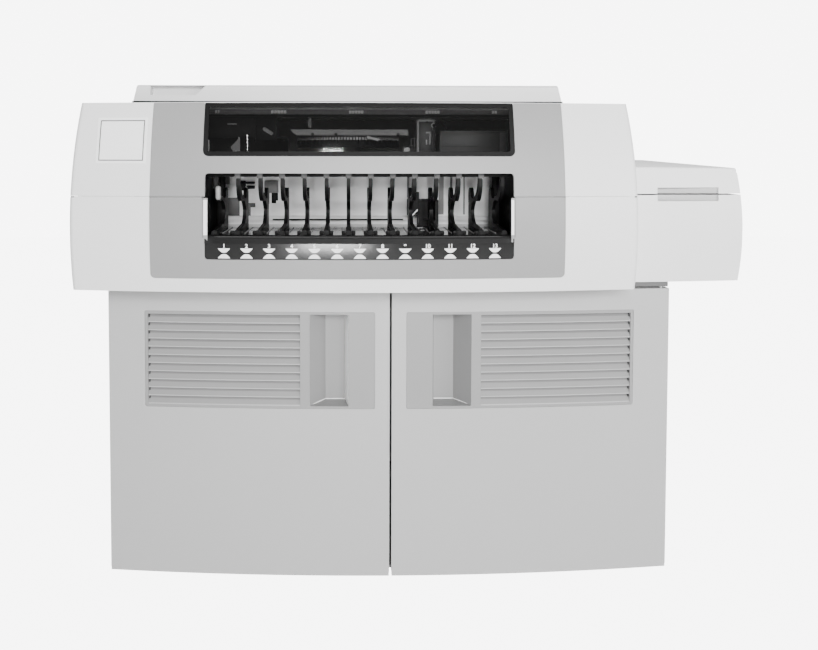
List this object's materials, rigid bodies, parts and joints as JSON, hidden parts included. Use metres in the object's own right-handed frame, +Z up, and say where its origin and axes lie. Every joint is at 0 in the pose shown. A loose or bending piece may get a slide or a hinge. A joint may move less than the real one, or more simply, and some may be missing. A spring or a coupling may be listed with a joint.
{
  "type": "immunoassay analyzer",
  "caption": "Floor-standing immunoassay analyzer: curved lift-up front cover over a sample bay with lane guides, two-door cabinet with louvred inserts, and a lidded hopper.",
  "frame": {"origin": "on the floor, under the middle of the whole machine's bounding box", "axes": "+X to the right seen from the front, +Y to the rear, +Z up; the front faces -Y"},
  "size_m": [1.5, 0.77, 1.206],
  "materials": {
    "white_casing": "fine-grained painted moulding",
    "grey_fascia": "fine-grained painted moulding",
    "smoked_window": "smoked, glossy",
    "black_plastic": "satin moulded",
    "strip_black": "glossy strip with plain numbers",
    "door_paint": "light grey powder coat",
    "insert_grey": "satin moulded",
    "frame_paint": "grey powder coat",
    "light_panel": "satin light grey",
    "pin_steel": "turned",
    "foot_steel": "zinc plated",
    "clip_plastic": "satin moulded",
    "rail_aluminium": "anodised",
    "bottle_plastic": "translucent white, filled",
    "probe_steel": "polished",
    "hose_rubber": "matt"
  },
  "bodies": {
    "machine": {"levelling_feet": "foot_steel", "base_frame": "frame_paint", "cabinet_floor": "frame_paint", "left_side_panel": "door_paint", "right_side_panel": "door_paint", "rear_panel": "door_paint", "fan_housing": "black_plastic", "hopper_floor": "white_casing", "chassis_deck": "frame_paint", "door_hinge_pins": "pin_steel", "buffer_bottle": "bottle_plastic", "waste_container": "bottle_plastic", "electronics_box": "light_panel", "lower_casing": "white_casing", "lower_fascia": "grey_fascia", "number_strip": "strip_black", "cover_hinge_pins": "pin_steel", "inner_frame": "frame_paint", "rear_casing": "white_casing", "hopper_bin": "white_casing", "bay_tray": "black_plastic", "left_cheek": "black_plastic", "right_cheek": "black_plastic", "bay_rear_wall": "light_panel", "guide_rail": "black_plastic", "guide_clips": "clip_plastic", "instrument_deck": "frame_paint", "transport_rail": "rail_aluminium", "reagent_spindle": "rail_aluminium", "process_lid": "light_panel", "pipettor_column": "light_panel", "wash_station": "grey_fascia", "wash_hose": "hose_rubber", "lane_guide_1": "black_plastic", "lane_guide_2": "black_plastic", "lane_guide_3": "black_plastic", "lane_guide_4": "black_plastic", "lane_guide_5": "black_plastic", "lane_guide_6": "black_plastic", "lane_guide_7": "black_plastic", "lane_guide_8": "black_plastic", "lane_guide_9": "black_plastic", "lane_guide_10": "black_plastic", "lane_guide_11": "black_plastic", "lane_guide_12": "black_plastic"},
    "front_cover": {"cover_shell": "white_casing", "cover_fascia": "grey_fascia", "cover_window": "smoked_window"},
    "left_door": {"left_door": "door_paint", "left_door_insert": "insert_grey"},
    "right_door": {"right_door": "door_paint", "right_door_insert": "insert_grey"},
    "top_cover": {"top_cover": "white_casing"},
    "hopper_lid": {"hopper_lid": "white_casing"},
    "transport": {"transport_carriage": "black_plastic"},
    "reagent_carousel": {"reagent_carousel": "black_plastic"},
    "process_ring": {"process_ring": "black_plastic"},
    "pipettor_arm": {"pipettor_arm": "light_panel"},
    "sample_probe": {"sample_probe": "probe_steel"},
    "fan": {"fan_rotor": "black_plastic"}
  },
  "joints": [
    {"name": "front_cover_hinge", "type": "hinge", "parent": "machine", "child": "front_cover", "pos_m": [-0.142, -0.19665, 1.146], "axis": [-1, 0, 0], "range_deg": [0, 65]},
    {"name": "left_door_hinge", "type": "hinge", "parent": "machine", "child": "left_door", "pos_m": [-0.687, -0.22154, 0.42], "axis": [0, 0, -1], "range_deg": [0, 110]},
    {"name": "right_door_hinge", "type": "hinge", "parent": "machine", "child": "right_door", "pos_m": [0.563, -0.22154, 0.42], "axis": [0, 0, 1], "range_deg": [0, 110]},
    {"name": "top_cover_hinge", "type": "hinge", "parent": "machine", "child": "top_cover", "pos_m": [-0.1575, 0.35835, 1.164], "axis": [-1, 0, 0], "range_deg": [0, 70]},
    {"name": "hopper_lid_hinge", "type": "hinge", "parent": "machine", "child": "hopper_lid", "pos_m": [0.608, 0.36635, 0.9645], "axis": [-1, 0, 0], "range_deg": [0, 80]},
    {"name": "transport_slide", "type": "slide", "parent": "machine", "child": "transport", "axis": [1, 0, 0], "range_m": [-0.6, 0.27]},
    {"name": "reagent_carousel_spin", "type": "hinge", "parent": "machine", "child": "reagent_carousel", "pos_m": [-0.465, 0.04495, 1.05], "axis": [0, 0, 1], "continuous": true},
    {"name": "process_ring_spin", "type": "hinge", "parent": "machine", "child": "process_ring", "pos_m": [-0.158, -0.05005, 1.07], "axis": [0, 0, 1], "continuous": true},
    {"name": "pipettor_swing", "type": "hinge", "parent": "machine", "child": "pipettor_arm", "pos_m": [0.026, -0.13605, 1.13], "axis": [0, 0, 1], "range_deg": [-60, 60]},
    {"name": "probe_lift", "type": "slide", "parent": "pipettor_arm", "child": "sample_probe", "axis": [0, 0, 1], "range_m": [0, 0.04]},
    {"name": "fan_spin", "type": "hinge", "parent": "machine", "child": "fan", "pos_m": [-0.441, 0.36, 0.593], "axis": [0, 1, 0], "continuous": true}
  ]
}
